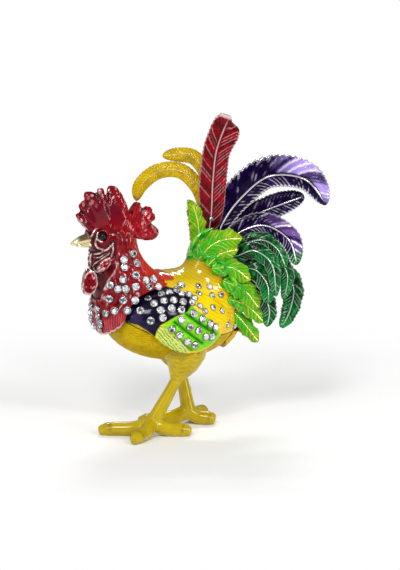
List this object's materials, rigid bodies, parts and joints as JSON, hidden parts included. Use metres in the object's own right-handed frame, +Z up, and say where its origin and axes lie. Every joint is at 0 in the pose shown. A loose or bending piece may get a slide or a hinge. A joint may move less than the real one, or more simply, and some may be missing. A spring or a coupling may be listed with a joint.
{
  "type": "hinged rooster box",
  "caption": "Standing rooster in enamelled cast metal with set stones and fanned tail feathers; the back, head and tail lift as the lid of a small box on a rear pin hinge.",
  "frame": {"origin": "on the ground under the middle of the bounding box", "axes": "+X towards the tail, +Y towards the right side of the bird, +Z up"},
  "size_m": [0.089, 0.0344, 0.1068],
  "materials": {
    "mustard_enamel": "matte enamel over fine carving",
    "saffron_enamel": "glossy enamel",
    "crimson_enamel": "glossy translucent enamel",
    "lime_enamel": "glossy enamel with gilt cell lines",
    "forest_enamel": "glossy enamel",
    "violet_enamel": "glossy enamel",
    "gilt": "gold plated",
    "steel": "plain",
    "jet_glass": "polished black glass",
    "crystal": "foil-backed cut stones"
  },
  "bodies": {
    "base": {"belly_bowl": "mustard_enamel", "bowl_magnet": "steel", "bowl_hinge_leaf": "gilt", "hinge_pin": "steel", "left_leg": "mustard_enamel", "right_leg": "mustard_enamel"},
    "lid": {"lid_shell": "saffron_enamel", "yellow_sickle_long": "saffron_enamel", "yellow_sickle_short": "saffron_enamel", "head_and_hackle": "crimson_enamel", "comb": "crimson_enamel", "left_wattle": "crimson_enamel", "right_wattle": "crimson_enamel", "left_ear_lobe": "crimson_enamel", "right_ear_lobe": "crimson_enamel", "red_sickle": "crimson_enamel", "left_lime_covert_1": "lime_enamel", "left_lime_covert_2": "lime_enamel", "left_lime_covert_3": "lime_enamel", "left_lime_covert_4": "lime_enamel", "left_lime_covert_5": "lime_enamel", "left_lime_covert_6": "lime_enamel", "left_lime_covert_7": "lime_enamel", "right_lime_covert_1": "lime_enamel", "right_lime_covert_2": "lime_enamel", "right_lime_covert_3": "lime_enamel", "right_lime_covert_4": "lime_enamel", "right_lime_covert_5": "lime_enamel", "right_lime_covert_6": "lime_enamel", "right_lime_covert_7": "lime_enamel", "rump_covert_1": "lime_enamel", "rump_covert_2": "lime_enamel", "rump_covert_3": "lime_enamel", "left_wing": "lime_enamel", "right_wing": "lime_enamel", "left_green_sickle_1": "forest_enamel", "left_green_sickle_2": "forest_enamel", "left_green_sickle_3": "forest_enamel", "left_green_sickle_4": "forest_enamel", "left_green_sickle_5": "forest_enamel", "left_green_sickle_6": "forest_enamel", "right_green_sickle_1": "forest_enamel", "right_green_sickle_2": "forest_enamel", "right_green_sickle_3": "forest_enamel", "right_green_sickle_4": "forest_enamel", "right_green_sickle_5": "forest_enamel", "right_green_sickle_6": "forest_enamel", "purple_sickle_low": "violet_enamel", "purple_sickle_top": "violet_enamel", "purple_sickle_middle": "violet_enamel", "lid_hinge_leaf": "gilt", "beak": "gilt", "lid_magnet": "steel", "left_eye": "jet_glass", "right_eye": "jet_glass"}
  },
  "joints": [
    {"name": "lid_hinge", "type": "hinge", "parent": "base", "child": "lid", "pos_m": [0.01803, 0, 0.033], "axis": [0, 1, 0], "range_deg": [0, 60]}
  ]
}
